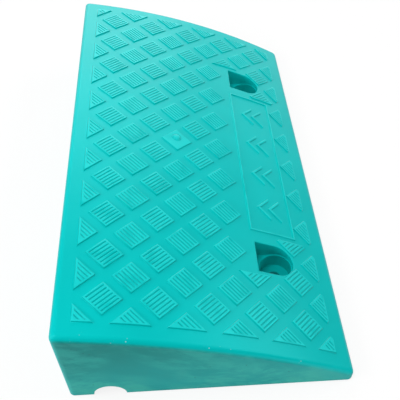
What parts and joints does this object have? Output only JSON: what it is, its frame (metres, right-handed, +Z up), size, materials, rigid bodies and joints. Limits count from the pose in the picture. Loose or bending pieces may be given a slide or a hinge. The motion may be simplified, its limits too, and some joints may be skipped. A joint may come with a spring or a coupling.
{
  "type": "kerb ramp",
  "caption": "Moulded plastic kerb ramp: bowed wedge with a diamond tread, a framed panel, two recessed bolt wells, a half-round drain channel, a ribbed underside and rubber feet that grip its ribs",
  "frame": {"origin": "on the road, in the middle of the ramp's footprint", "axes": "+X along the kerb, +Y from the road to the kerb, +Z up"},
  "size_m": [0.5, 0.262, 0.1051],
  "materials": {
    "ramp_plastic": "satin, injection moulded, turquoise green",
    "foot_rubber": "matt black"
  },
  "bodies": {
    "root": {"foot_kerb_1": "foot_rubber", "foot_kerb_2": "foot_rubber", "foot_kerb_3": "foot_rubber", "foot_kerb_4": "foot_rubber", "foot_toe_1": "foot_rubber", "foot_toe_2": "foot_rubber", "foot_toe_3": "foot_rubber", "foot_toe_4": "foot_rubber", "ramp_moulding": "ramp_plastic"}
  },
  "joints": []
}
